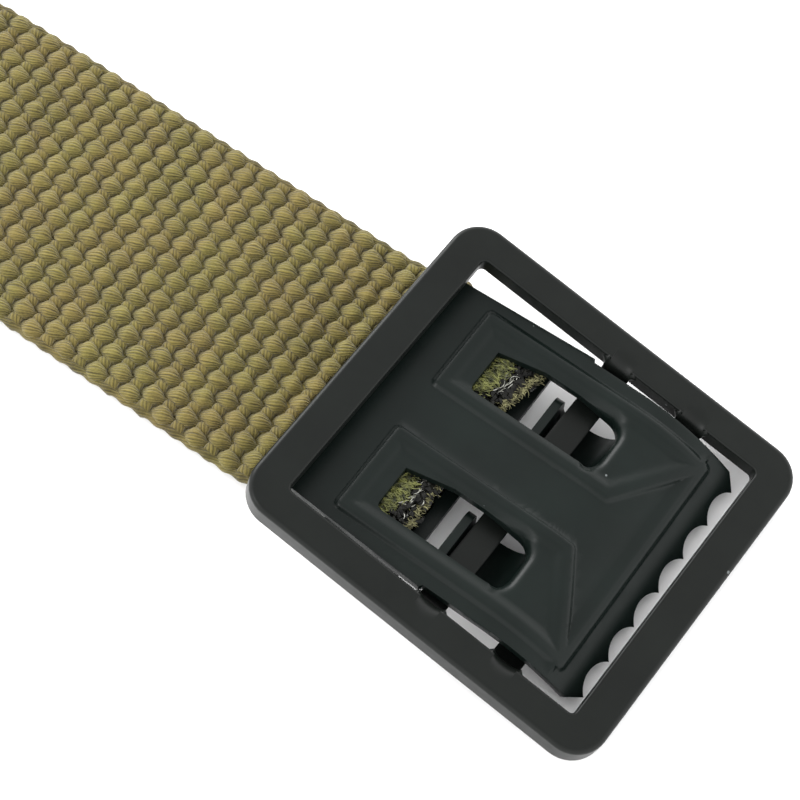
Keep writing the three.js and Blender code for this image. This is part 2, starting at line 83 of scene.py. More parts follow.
# %% Camera
camera = bpy.data.objects.new("camera", bpy.data.cameras.new("camera"))
bpy.context.scene.collection.objects.link(camera)
camera.data.sensor_width = 36.0
camera.data.lens = 108.9
camera.data.clip_start = 0.01
right = Vector((0.8127244, 0.5822914, 0.0203897))
up = Vector((-0.5247937, 0.7163730, 0.4597839))
back = right.cross(up)
axes = Matrix((right, up, back)).transposed().to_4x4()
camera.matrix_world = Matrix.Translation(Vector((591.2291, -96.8755, 230.2436)) * MM) @ axes
bpy.context.scene.camera = camera
print("camera looks down at, degrees:", round(math.degrees(math.asin(back.z))))

# %% [markdown]
# Working habits for every piece. An operator acts on all that is selected, so everything is deselected
# first. Faces are picked by where they lie, because their numbers change with every bevel and cut.

# %% Helpers for modelling by hand
def edit_mode():
    bpy.ops.object.mode_set(mode="EDIT")


def object_mode():
    bpy.ops.object.mode_set(mode="OBJECT")


def deselect_all():
    if bpy.context.object and bpy.context.object.mode != "OBJECT":
        object_mode()
    bpy.ops.object.select_all(action="DESELECT")


def work_on(piece):
    deselect_all()
    piece.select_set(True)
    bpy.context.view_layer.objects.active = piece


def start_with(add, location=(0, 0, 0), **settings):
    """Adds a primitive with nothing else selected."""
    deselect_all()
    add(location=location, **settings)
    return bpy.context.object


def start_block(name, low, high):
    """A block between two corners, as a cube brought to size."""
    low, high = Vector(low), Vector(high)
    piece = start_with(bpy.ops.mesh.primitive_cube_add, size=1, location=(low + high) / 2)
    piece.scale = high - low
    bpy.ops.object.transform_apply()
    piece.name = name
    return piece


def pick(piece, vertex=None, edge=None, face=None):
    """In edit mode, select what the given test says yes to."""
    mesh = bmesh.from_edit_mesh(piece.data)
    for part in (mesh.faces, mesh.edges, mesh.verts):
        for item in part:
            item.select = False
    if vertex is not None:
        bpy.context.tool_settings.mesh_select_mode = (True, False, False)
        for item in mesh.verts:
            item.select = bool(vertex(item.co))
    if edge is not None:
        bpy.context.tool_settings.mesh_select_mode = (False, True, False)
        for item in mesh.edges:
            if edge(item.verts[0].co, item.verts[1].co):
                item.select_set(True)
    if face is not None:
        bpy.context.tool_settings.mesh_select_mode = (False, False, True)
        for item in mesh.faces:
            if face(item.calc_center_median(), item.normal):
                item.select_set(True)
    mesh.select_flush_mode()
    bmesh.update_edit_mesh(piece.data)


# %% [markdown]
# Sheet and cord need extra rings of vertices before they can bend. Loop cut needs a window, so the mesh
# is bisected by planes. Boolean, Bevel and Solidify cut holes, round edges and give sheets thickness.

# %% Helpers that cut, round and thicken
def slice_at(piece, places, across):
    """Cuts the whole mesh by parallel planes square to `across`."""
    across = Vector(across)
    work_on(piece)
    edit_mode()
    for place in places:
        bpy.ops.mesh.select_all(action="SELECT")
        bpy.ops.mesh.bisect(plane_co=across * place, plane_no=across, threshold=1e-5)
    object_mode()


def cut_away(piece, cutter):
    work_on(piece)
    cut = piece.modifiers.new("cut", "BOOLEAN")
    cut.operation = "DIFFERENCE"
    cut.solver = "EXACT"
    cut.object = cutter
    bpy.ops.object.modifier_apply(modifier=cut.name)
    bpy.data.objects.remove(cutter)


def soften_edges(piece, width, segments=2, angle=35.0):
    work_on(piece)
    round_off = piece.modifiers.new("round", "BEVEL")
    round_off.width = width
    round_off.segments = segments
    round_off.limit_method = "ANGLE"
    round_off.angle_limit = math.radians(angle)
    bpy.ops.object.modifier_apply(modifier=round_off.name)


def thicken(piece, thickness, offset=0.0):
    work_on(piece)
    wall = piece.modifiers.new("wall", "SOLIDIFY")
    wall.thickness = thickness
    wall.offset = offset
    wall.use_even_offset = True
    bpy.ops.object.modifier_apply(modifier=wall.name)


def face_outward(piece):
    work_on(piece)
    edit_mode()
    bpy.ops.mesh.select_all(action="SELECT")
    bpy.ops.mesh.normals_make_consistent(inside=False)
    object_mode()


def reshape(piece, move):
    """Moves every point by a function of an array of points."""
    points = np.empty(len(piece.data.vertices) * 3)
    piece.data.vertices.foreach_get("co", points)
    piece.data.vertices.foreach_set("co", move(points.reshape(-1, 3)).ravel())
    piece.data.update()


# %% [markdown]
# Every piece ends with the same steps: into place, smooth shading, its finish, and the body it moves
# with. On steel, Weighted Normal keeps a narrow rounded edge from darkening the flat sheet beside it.

# %% Laying a finished piece in place
def lay(piece, place, body, slot, material, angle=35.0):
    piece.data.transform(place)
    work_on(piece)
    bpy.ops.object.shade_smooth_by_angle(angle=math.radians(angle))
    if slot == "black_steel":
        even = piece.modifiers.new("even_normals", "WEIGHTED_NORMAL")
        even.keep_sharp = True
        bpy.ops.object.modifier_apply(modifier=even.name)
    piece.data.materials.clear()
    piece.data.materials.append(material)
    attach(piece, body)
    piece.data.calc_loop_triangles()
    print(f"{piece.name}: {len(piece.data.loop_triangles)} triangles")
    return piece


# %% [markdown]
# Materials are node trees on Object coordinates, or on a cord's own UV map, so a pattern stays with its
# piece. A small class keeps each recipe short: it adds a node and hands back the socket that is needed.

# %% Helpers for materials
class Nodes:
    """Small helper that adds nodes to one material and links them."""

    def __init__(self, name):
        self.material = bpy.data.materials.new(name)
        self.material.use_nodes = True
        self.tree = self.material.node_tree
        self.shader = self.tree.nodes["Principled BSDF"]

    def add(self, kind):
        return self.tree.nodes.new(kind)

    def link(self, source, target):
        self.tree.links.new(source, target)

    def noise(self, coordinates, scale, detail=4.0, roughness=0.5):
        node = self.add("ShaderNodeTexNoise")
        node.inputs["Scale"].default_value = scale
        node.inputs["Detail"].default_value = detail
        node.inputs["Roughness"].default_value = roughness
        self.link(coordinates, node.inputs["Vector"])
        return node.outputs["Fac"]

    def math(self, operation, first, second=0.0, third=0.0, clamp=False):
        node = self.add("ShaderNodeMath")
        node.operation = operation
        node.use_clamp = clamp
        for socket, value in zip(node.inputs, (first, second, third)):
            if isinstance(value, (int, float)):
                socket.default_value = value
            else:
                self.link(value, socket)
        return node.outputs[0]

    def ramp(self, factor, stops):
        node = self.add("ShaderNodeValToRGB")
        elements = node.color_ramp.elements
        while len(elements) < len(stops):
            elements.new(0.5)
        for element, (place, colour) in zip(elements, stops):
            element.position = place
            element.color = (*colour, 1.0)
        self.link(factor, node.inputs["Fac"])
        return node.outputs["Color"]

    def mix(self, first, second, factor, kind="MIX"):
        node = self.add("ShaderNodeMix")
        node.data_type = "RGBA"
        node.blend_type = kind
        self.link(first, node.inputs[6])
        if isinstance(second, tuple):
            node.inputs[7].default_value = (*second, 1.0)
        else:
            self.link(second, node.inputs[7])
        if isinstance(factor, float):
            node.inputs[0].default_value = factor
        else:
            self.link(factor, node.inputs[0])
        return node.outputs[2]

    def bump(self, height, distance, strength=1.0):
        node = self.add("ShaderNodeBump")
        node.inputs["Strength"].default_value = strength
        node.inputs["Distance"].default_value = distance
        self.link(height, node.inputs["Height"])
        return node.outputs["Normal"]


# %% [markdown]
# The steel is chemically blackened: near black with a green-blue cast, satin, a little uneven, with a
# few pale specks of wear. A metallic shader would mirror the room, but the black layer swallows light,
# so it is a dark dielectric with a weak highlight. Voronoi cells whose random red is high get a speck.

# %% Blackened steel
def blackened_steel(name, base, roughness):
    """A satin black with cloudy colour, pale specks and a fine grain."""
    steel = Nodes(name)
    place = steel.add("ShaderNodeTexCoord").outputs["Object"]
    cloudy = steel.noise(place, 160.0, 5.0)
    darker = tuple(v * 0.85 for v in base)
    lighter = tuple(v * 1.18 for v in base)
    even = steel.ramp(cloudy, [(0.3, darker), (0.7, lighter)])
    cells = steel.add("ShaderNodeTexVoronoi")
    cells.inputs["Scale"].default_value = 260.0
    steel.link(place, cells.inputs["Vector"])
    chance = steel.add("ShaderNodeSeparateColor")
    steel.link(cells.outputs["Color"], chance.inputs["Color"])
    reach = steel.math("MULTIPLY", steel.math("SUBTRACT", chance.outputs["Red"], 0.72, clamp=True), 0.22)
    speck = steel.math("LESS_THAN", cells.outputs["Distance"], reach)
    steel.link(steel.mix(even, (0.10, 0.11, 0.11), speck), steel.shader.inputs["Base Color"])
    satin = steel.math("MULTIPLY_ADD", steel.noise(place, 900.0, 3.0), 0.12, roughness - 0.06)
    steel.link(satin, steel.shader.inputs["Roughness"])
    steel.shader.inputs["Specular IOR Level"].default_value = 0.15
    grain = steel.noise(place, 5000.0, 2.0)
    steel.link(steel.bump(grain, 0.00001, 0.5), steel.shader.inputs["Normal"])
    return steel.material


FRAME_STEEL = blackened_steel("blackened_steel_frame", (0.0036, 0.0046, 0.0039), 0.36)
LEVER_STEEL = blackened_steel("blackened_steel_lever", (0.0029, 0.0053, 0.0045), 0.34)
print("steel finishes:", FRAME_STEEL.name, LEVER_STEEL.name)

# %% [markdown]
# Each cord is a rope of many cotton strands. They are thinner than the mesh, so they are bump: a sine
# wave of U, turned by V, winds them round the cord. The same wave also paints the colour lighter on the
# strands' ridges and darker in their grooves, a painted shade. Noise read round a ring keeps its value
# along a strand and looks like hairs. The tops of the floats are painted paler and the dives darker,
# a painted shade where the cord dives, and past DYE_START the web is dipped in black.

# %% Cotton yarn
DYE_START = 0.5322
DYE_COLOUR = (0.006, 0.006, 0.004)


def cotton(name, dark, light, strands_round, strands_along, depth):
    """Matt twisted cotton. In the UV map, U runs round the cord and V along it."""
    yarn = Nodes(name)
    coordinates = yarn.add("ShaderNodeTexCoord")
    place = coordinates.outputs["Object"]
    split = yarn.add("ShaderNodeSeparateXYZ")
    yarn.link(coordinates.outputs["UV"], split.inputs["Vector"])
    wander = yarn.noise(place, 700.0, 2.0)
    turn = yarn.math("MULTIPLY_ADD", split.outputs["Y"], math.tau * strands_along / strands_round,
                     yarn.math("MULTIPLY", wander, 3.0 / strands_round))
    turn = yarn.math("MULTIPLY_ADD", split.outputs["X"], math.tau, turn)
    ridge = yarn.math("MULTIPLY_ADD", yarn.math("SINE", yarn.math("MULTIPLY", turn, strands_round)), 0.5, 0.5)

    # Hairs: noise read round a ring, which changes across the strands and hardly along them
    ring = yarn.add("ShaderNodeCombineXYZ")
    yarn.link(yarn.math("MULTIPLY", yarn.math("COSINE", turn), 5.0), ring.inputs["X"])
    yarn.link(yarn.math("MULTIPLY", yarn.math("SINE", turn), 5.0), ring.inputs["Y"])
    drift = yarn.add("ShaderNodeVectorMath")
    drift.operation = "MULTIPLY_ADD"
    yarn.link(place, drift.inputs[0])
    drift.inputs[1].default_value = (420.0, 420.0, 420.0)
    yarn.link(ring.outputs[0], drift.inputs[2])
    hairs = yarn.noise(drift.outputs[0], 1.6, 3.0, 0.65)
    fibres = yarn.noise(place, 4200.0, 3.0)
    patchy = yarn.noise(place, 260.0, 2.0)
    # The tops of the floats are painted paler than the dives: painted shade where the cord dives.
    tops_painted_paler = yarn.math("POWER", yarn.math("SINE", yarn.math("MULTIPLY", split.outputs["Y"], math.pi)), 2.0)
    # The strand ridges make the colour lighter and the grooves darker: painted shade between the strands.
    blend = yarn.math("MULTIPLY_ADD", ridge, 0.13, yarn.math("MULTIPLY", hairs, 0.62))
    blend = yarn.math("MULTIPLY_ADD", patchy, 0.12, blend)
    blend = yarn.math("MULTIPLY_ADD", fibres, 0.14, blend)
    blend = yarn.math("MULTIPLY_ADD", tops_painted_paler, 0.10, blend)
    base = yarn.ramp(blend, [(0.43, dark), (0.70, light)])
    tint = yarn.ramp(yarn.noise(place, 230.0, 1.0), [(0.35, (0.97, 1.015, 0.96)), (0.65, (1.03, 0.99, 1.03))])
    dyed = yarn.mix(base, tint, 1.0, "MULTIPLY")
    along = yarn.add("ShaderNodeSeparateXYZ")
    yarn.link(place, along.inputs["Vector"])
    dipped = yarn.math("MULTIPLY_ADD", patchy, 0.002, along.outputs["X"])
    dipped = yarn.math("MULTIPLY", yarn.math("SUBTRACT", dipped, DYE_START), 1500.0, clamp=True)
    yarn.link(yarn.mix(dyed, DYE_COLOUR, dipped), yarn.shader.inputs["Base Color"])
    yarn.shader.inputs["Roughness"].default_value = 0.85
    yarn.shader.inputs["Sheen Weight"].default_value = 0.15
    yarn.shader.inputs["Sheen Roughness"].default_value = 0.5
    yarn.shader.inputs["Specular IOR Level"].default_value = 0.2
    height = yarn.math("MULTIPLY_ADD", ridge, 0.35, yarn.math("MULTIPLY", hairs, 0.9))
    height = yarn.math("MULTIPLY_ADD", fibres, 0.25, height)
    yarn.link(yarn.bump(height, depth), yarn.shader.inputs["Normal"])
    return yarn.material


WARP_COTTON = cotton("khaki_warp_cotton", (0.031, 0.0235, 0.0040), (0.179, 0.144, 0.037), 16, 8, 0.00018)
# The weft is painted darker than the warp: painted shade in the pits between the floats where it shows.
SHADED_WEFT_COTTON = cotton("khaki_weft_cotton_painted_shade", (0.030, 0.023, 0.0041), (0.150, 0.119, 0.030), 10, 4, 0.00014)
print("cottons:", WARP_COTTON.name, SHADED_WEFT_COTTON.name)

# %% [markdown]
# The cut end has four finishes: raw green fibre, tan fringe, shiny black dye and a few pale hairs,
# which are painted glints, highlights on the dye. They differ only in colour, gloss and strength of
# highlight, so one recipe makes all four.

# %% Loose fibres and dye at the cut end
def fibre(name, dark, light, roughness, specular):
    hair = Nodes(name)
    place = hair.add("ShaderNodeTexCoord").outputs["Object"]
    hair.link(hair.ramp(hair.noise(place, 1600.0, 3.0), [(0.35, dark), (0.65, light)]),
              hair.shader.inputs["Base Color"])
    hair.shader.inputs["Roughness"].default_value = roughness
    hair.shader.inputs["Specular IOR Level"].default_value = specular
    hair.link(hair.bump(hair.noise(place, 6000.0, 2.0), 0.00003), hair.shader.inputs["Normal"])
    return hair.material


GREEN_FIBRE = fibre("loose_green_fibre", (0.016, 0.019, 0.004), (0.170, 0.178, 0.048), 0.5, 0.4)
TAN_FIBRE = fibre("cut_tan_fibre", (0.022, 0.020, 0.008), (0.190, 0.180, 0.085), 0.7, 0.3)
BLACK_DYE = fibre("black_end_dye", (0.002, 0.002, 0.002), (0.012, 0.012, 0.010), 0.15, 0.12)
WHITE_GLINT = fibre("pale_hair_painted_glint", (0.10, 0.10, 0.08), (0.42, 0.42, 0.38), 0.4, 0.4)


# %% [markdown]
# The lever is one stamping: a flat blank with two windows and seven teeth, beads pressed up round the
# windows and along the teeth, and the toothed end curled down. It could be sculpted, but a press works
# in the same order as here: blank and pierce, round the edges, then draw the relief and bend the sheet.
# The blank is a block whose cross lines are scaled to its width, and cylinders bite out the teeth.

# %% Lever: the blank
LEVER_FLAT = 23.7
ARC_RADIUS = 20.0
LEVER_END = 37.663
STEP_A = 17.15
STEP_HALF = 16.05
LEVER_HALF = 15.65
TOOTH_PITCH = 4.683
TOOTH_DEPTH = 1.3
TOOTH_GAPS = 6
print("lever blank, mm:", LEVER_END, "by", 2 * STEP_HALF)


def lever_half(a):
    if a <= STEP_A:
        return STEP_HALF - 0.95 * (1 - a / STEP_A)
    return LEVER_HALF - 0.2 * max(a - LEVER_FLAT, 0.0) / (LEVER_END - LEVER_FLAT)


def lever_blank():
    blank = start_block("buckle_lever", (0, -STEP_HALF, -SHEET), (LEVER_END, STEP_HALF, 0))
    slice_at(blank, (STEP_A, STEP_A + 0.25, LEVER_FLAT), (1, 0, 0))
    edit_mode()
    for a in (0, STEP_A, STEP_A + 0.25, LEVER_FLAT, LEVER_END):
        pick(blank, vertex=lambda co: abs(co.x - a) < 1e-3)
        bpy.ops.transform.resize(value=(1, lever_half(a) / STEP_HALF, 1), center_override=(a, 0, 0))
    object_mode()
    return blank


def tooth_cutters(blank):
    radius = ((TOOTH_PITCH / 2) ** 2 + TOOTH_DEPTH ** 2) / (2 * TOOTH_DEPTH)
    for i in range(-TOOTH_GAPS // 2, TOOTH_GAPS // 2):
        cutter = start_with(bpy.ops.mesh.primitive_cylinder_add, vertices=48, radius=radius, depth=4,
                            location=(LEVER_END + radius - TOOTH_DEPTH, (i + 0.5) * TOOTH_PITCH, -0.5))
        bpy.ops.object.transform_apply()
        cut_away(blank, cutter)
    for side in (-1, 1):
        corner = start_block("corner", (LEVER_END - 1.7, 0, -3), (LEVER_END + 1, 3, 1))
        edit_mode()
        pick(corner, vertex=lambda co: co.x > LEVER_END and co.y < 1)
        bpy.ops.transform.translate(value=(-1.0, -1.4, 0))
        object_mode()
        reshape(corner, lambda p: np.column_stack(
            (p[:, 0], side * (p[:, 1] + lever_half(LEVER_END)), p[:, 2])))
        face_outward(corner)
        cut_away(blank, corner)


# %% [markdown]
# Each window is a slot with a slanted left corner and a round right end, where a tongue was pushed
# through. Its cutter is a block with one corner moved and its upright edges bevelled.

# %% Lever: windows
WINDOW_LEFT = 8.6
WINDOW_RIGHT = 24.0
WINDOW_HALF = 3.225
WINDOW_CENTRES = (8.325, -8.325)
WINDOW_ROUND = 2.0
WINDOW_NIP = 0.6
SLANT_LENGTH = 5.4
SLANT_DROP = 1.1
LIP_RADIUS = 1.3
print("windows, mm:", round(WINDOW_RIGHT - WINDOW_LEFT, 1), "by", 2 * WINDOW_HALF)


def window_cutter(centre):
    cutter = start_block("window", (WINDOW_LEFT, centre - WINDOW_HALF, -3),
                         (WINDOW_RIGHT, centre + WINDOW_HALF, 1))
    slice_at(cutter, (WINDOW_LEFT + SLANT_LENGTH,), (1, 0, 0))
    edit_mode()
    pick(cutter, vertex=lambda co: co.x < WINDOW_LEFT + 0.1 and co.y > centre)
    bpy.ops.transform.translate(value=(0, -SLANT_DROP, 0))
    for ends, offset, segments in ((lambda co: co.x > WINDOW_RIGHT - 0.1, WINDOW_ROUND, 8),
                                   (lambda co: co.x < WINDOW_LEFT + 0.1 and co.y < centre, WINDOW_NIP, 2)):
        pick(cutter, edge=lambda p, q: ends(p) and ends(q) and abs(p.z - q.z) > 1)
        bpy.ops.mesh.bevel(offset=offset, segments=segments)
    object_mode()
    return cutter


# %% [markdown]
# The relief stiffens the sheet: a bead in a slanted loop round each window, a step along the teeth, and
# windows drawn down at the right. Height is a formula of the distance to a loop's centre line, so
# every bead has the same soft inner slope and crisp outer foot.

# %% Lever: the relief that the press draws into it
BEAD_HEIGHT = 0.42
BEAD_LEFT = 5.7
BEAD_RIGHT = 33.2
BEAD_SIDE = 13.35
LOOPS = (
    ((BEAD_LEFT, BEAD_SIDE), (BEAD_RIGHT, BEAD_SIDE), (26.8, 3.8), (BEAD_LEFT, 3.8)),
    ((BEAD_LEFT, -3.35), (26.9, -3.35), (BEAD_RIGHT, -13.4), (BEAD_LEFT, -13.4)),
)
BEAD_OFFSETS = (-1.8, -1.4, -1.05, -0.7, -0.35, 0.0, 0.3, 0.5, 0.65, 0.8, 0.95)


def rise(x):
    """A smooth step from 0 to 1."""
    t = np.clip(x, 0.0, 1.0)
    return t * t * (3 - 2 * t)


def signed_distance(a, t, loop):
    """Distance to a loop's centre line, negative inside the loop."""
    nearest = np.full(a.shape, 1e9)
    inside = np.zeros(a.shape, bool)
    for (x0, y0), (x1, y1) in zip(loop, loop[1:] + loop[:1]):
        dx, dy = x1 - x0, y1 - y0
        share = np.clip(((a - x0) * dx + (t - y0) * dy) / (dx * dx + dy * dy), 0, 1)
        nearest = np.minimum(nearest, np.hypot(a - x0 - share * dx, t - y0 - share * dy))
        if y0 != y1:
            crosses = (y0 > t) != (y1 > t)
            inside ^= crosses & (a < x0 + (t - y0) * dx / dy)
    return np.where(inside, -nearest, nearest)


def bead(distance):
    """A soft slope towards the inside and a crisper foot outside."""
    return BEAD_HEIGHT * rise((0.95 - distance) / 0.7) * rise((distance + 1.8) / 1.4)


def lip_drop(a, t, centre):
    """The window's right end is drawn down round a bend, where the tongue leaves the sheet."""
    inner = WINDOW_HALF - WINDOW_ROUND
    past = np.hypot(np.maximum(a - (WINDOW_RIGHT - WINDOW_ROUND), 0.0),
                    np.maximum(np.abs(t - centre) - inner, 0.0)) - WINDOW_ROUND
    left = LIP_RADIUS - np.clip(past, 0.0, LIP_RADIUS)
    fade = np.where(t > centre, rise((a - 17.8) / 5.2), rise((a - 22.3) / 1.3))
    return (LIP_RADIUS - np.sqrt(LIP_RADIUS ** 2 - left ** 2)) * fade


def lever_lift(a, t):
    lift = np.zeros(a.shape)
    for loop in LOOPS:
        lift = np.maximum(lift, bead(signed_distance(a, t, loop)))
    beside = np.hypot(a - BEAD_RIGHT, np.maximum(np.abs(t) - BEAD_SIDE, 0.0))
    beside = np.where(a < BEAD_RIGHT, -beside, beside)
    lift = np.maximum(lift, bead(beside))
    for centre in WINDOW_CENTRES:
        lift = lift - lip_drop(a, t, centre)
    return lift


def curl(points):
    """Bends the flat sheet down round the arc at the toothed end."""
    a, t, z = points.T
    z = z + lever_lift(a, t)
    turn = np.maximum(a - LEVER_FLAT, 0.0) / ARC_RADIUS
    reach = ARC_RADIUS + z
    return np.column_stack((np.minimum(a, LEVER_FLAT) + reach * np.sin(turn), t,
                            reach * np.cos(turn) - ARC_RADIUS))


# %% [markdown]
# To take the relief the sheet needs vertices where it rises and falls, and few elsewhere. So it is
# sliced once a millimetre, and closely beside each bead and lip.

# %% Lever: stamping it
def stamp_lever():
    lever = lever_blank()
    tooth_cutters(lever)
    for centre in WINDOW_CENTRES:
        cut_away(lever, window_cutter(centre))
    soften_edges(lever, 0.12, 2, 30.0)
    slice_at(lever, [0.8 + i for i in range(37)], (1, 0, 0))
    slice_at(lever, [-15.2 + 0.95 * i for i in range(33)], (0, 1, 0))
    slice_at(lever, [BEAD_LEFT - d for d in BEAD_OFFSETS] + [BEAD_RIGHT + d for d in BEAD_OFFSETS], (1, 0, 0))
    slice_at(lever, [s * (BEAD_SIDE + d) for s in (-1, 1) for d in BEAD_OFFSETS], (0, 1, 0))
    slice_at(lever, [s * (3.6 - d) for s in (-1, 1) for d in BEAD_OFFSETS], (0, 1, 0))
    for low, high, side in ((26.8, 3.8, 1), (26.9, -3.35, -1)):
        along = Vector((BEAD_RIGHT - low, side * BEAD_SIDE - high, 0)).normalized()
        across = Vector((-along.y, along.x, 0)) * -side
        base = across.dot(Vector((low, high, 0)))
        slice_at(lever, [base + d for d in BEAD_OFFSETS], across)
    slice_at(lever, [WINDOW_RIGHT + 0.15 * i for i in range(-10, 11)], (1, 0, 0))
    lips = [centre + s * (WINDOW_HALF + d) for centre in WINDOW_CENTRES for s in (-1, 1)
            for d in (-1.6, -1.2, -0.9, -0.6, -0.3, 0.08, 0.2, 0.4, 0.7, 1.0, 1.3)]
    slice_at(lever, lips, (0, 1, 0))
    reshape(lever, curl)
    return lever


lever = stamp_lever()

# %% [markdown]
# Two tongues are pushed down through the windows and bent round under the hinge bar into hooks, and a
# flap on each side is folded in under the web. Each is a strip: a plane whose end edge is pulled
# along its path point by point, given the sheet's thickness, and rounded along its edges.

# %% Strips of bent sheet
def path_of(start, heading, steps, arc_step=12.0):
    """Points and headings along straight runs and bends, in a plane."""
    x, z = start
    points = [(x, z)]
    for run, bend, radius in steps:
        if bend == 0.0:
            x += run * math.cos(heading)
            z += run * math.sin(heading)
            points.append((x, z))
            continue
        count = max(1, round(abs(bend) / arc_step))
        side = math.copysign(1.0, bend)
        centre = (x + radius * math.cos(heading + side * math.pi / 2),
                  z + radius * math.sin(heading + side * math.pi / 2))
        for i in range(1, count + 1):
            turned = heading + math.radians(bend) * i / count
            outward = turned - side * math.pi / 2
            points.append((centre[0] + radius * math.cos(outward),
                           centre[1] + radius * math.sin(outward)))
        x, z = points[-1]
        heading = turned
    return points


def strip(name, points, low, high, along="X"):
    """A strip from low to high across, pulled along points in the plane of `along` and Z."""
    piece = start_with(bpy.ops.mesh.primitive_plane_add, size=1)
    piece.name = name
    (x0, z0), (x1, z1) = points[:2]
    for vertex in piece.data.vertices:
        x, z = (x1, z1) if vertex.co.x > 0 else (x0, z0)
        vertex.co = (x, high if vertex.co.y > 0 else low, z)
    edit_mode()
    at = points[1]
    pick(piece, edge=lambda p, q: all(abs(v.x - x1) + abs(v.z - z1) < 1e-4 for v in (p, q)))
    for point in points[2:]:
        bpy.ops.mesh.extrude_region_move(
            TRANSFORM_OT_translate={"value": (point[0] - at[0], 0, point[1] - at[1])})
        at = point
    object_mode()
    if along == "Y":
        reshape(piece, lambda p: np.column_stack((p[:, 1], p[:, 0], p[:, 2])))
    return piece


# %% [markdown]
# A hook leaves the window's right end, bends down, runs back under the hinge bar and turns up behind
# it, so the frame hangs in it and can swing. The upturned end is what shows in the window.

# %% Hooks
HOOK_DEPTH = 6.33
HOOK_ROOT = 4.2
HOOK_TIP = 1.7
HOOK_TIP_X = 16.55
HOOK_TOP = -2.0


def hook(name, centre, half):
    low_middle = SHEET / 2 - HOOK_DEPTH
    bend = LIP_RADIUS - SHEET / 2
    start = (WINDOW_RIGHT + LIP_RADIUS + 0.15, -SHEET / 2 - 0.16)
    down = start[1] - bend - (low_middle + HOOK_ROOT)
    floor_run = start[0] - 0.1 - bend - HOOK_ROOT - HOOK_TIP - HOOK_TIP_X
    points = path_of(start, math.pi, (
        (0.1, 0, 0), (0, 90, bend), (down, 0, 0), (0, -90, HOOK_ROOT), (floor_run, 0, 0),
        (0, -90, HOOK_TIP), (HOOK_TOP - (low_middle + HOOK_TIP), 0, 0)))
    piece = strip(name, points, centre - half, centre + half)
    edit_mode()
    tip_x, tip_z = points[-1]
    pick(piece, vertex=lambda co: abs(co.x - tip_x) + abs(co.z - tip_z) < 1e-3 and co.y > centre)
    bpy.ops.mesh.bevel(offset=1.1, segments=5, affect="VERTICES")
    object_mode()
    thicken(piece, SHEET)
    soften_edges(piece, 0.12, 2, 50.0)
    return piece


hooks = [hook("hook_upper", 8.325, 2.95), hook("hook_lower", -8.15, 3.1)]


# %% [markdown]
# The lever's sides have a flap each, folded down beside the web and in under it, which grips the cut
# end. The lower flap is the upper one mirrored, so its normals are recalculated before it is rounded.

# %% Flaps under the web
FLAP_SPAN = (5.0, 14.05)
FLAP_BEND = 0.8
FLAP_REACH = 11.0


def flap(side):
    drop = 2 * SHEET + WEB_THICKNESS + 0.6
    half = lever_half(9.5) - 0.5
    points = path_of((half - 1.0, -0.55), 0.0, (
        (0.2, 0, 0), (0, -90, FLAP_BEND), (drop - SHEET - 2 * FLAP_BEND, 0, 0), (0, -90, FLAP_BEND),
        (FLAP_REACH, 0, 0)))
    piece = strip(f"flap_{'upper' if side > 0 else 'lower'}", points, *FLAP_SPAN, along="Y")
    if side < 0:
        reshape(piece, lambda p: p * (1, -1, 1))
    thicken(piece, SHEET)
    face_outward(piece)
    soften_edges(piece, 0.12, 2, 50.0)
    return piece


flaps = [flap(side) for side in (1, -1)]
for piece in [lever, *hooks, *flaps]:
    lay(piece, lever_place, STRAP_BODY, "black_steel", LEVER_STEEL)
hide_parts("lever")

# %% [markdown]
# The frame is a pressed ring: its outer edge turns down 3 mm and the rim of its opening 2 mm. Its outer
# and inner corners have different radii, which a swept profile can't give, so a rounded block is
# hollowed from below and opened, with a notch wherever a cross bar hangs.

# %% Frame: the ring
FRAME_LENGTH = 44.396
FRAME_HALF = 20.5
BAR_WIDTH = 4.1
RAIL_WIDTH = 3.7
OPEN_HALF = FRAME_HALF - RAIL_WIDTH
OUTER_WALL = 3.0
INNER_WALL = 2.1
HINGE_BAR_X = 22.346
CLAMP_BAR_X = 31.846
BARS = ((HINGE_BAR_X, 3.2), (CLAMP_BAR_X, 3.4))
EAR_ROOT = 19.1
print("frame, mm:", FRAME_LENGTH, "by", 2 * FRAME_HALF)


def rounded_block(name, low, high, radius, segments=8):
    piece = start_block(name, low, high)
    edit_mode()
    pick(piece, edge=lambda p, q: abs(p.z - q.z) > 0.5)
    bpy.ops.mesh.bevel(offset=radius, segments=segments)
    object_mode()
    return piece


def round_rim(piece, radius, segments):
    """Rounds the edges that lie in the face at height 0."""
    edit_mode()
    pick(piece, edge=lambda p, q: abs(p.z) < 1e-4 and abs(q.z) < 1e-4)
    bpy.ops.mesh.bevel(offset=radius, segments=segments)
    object_mode()


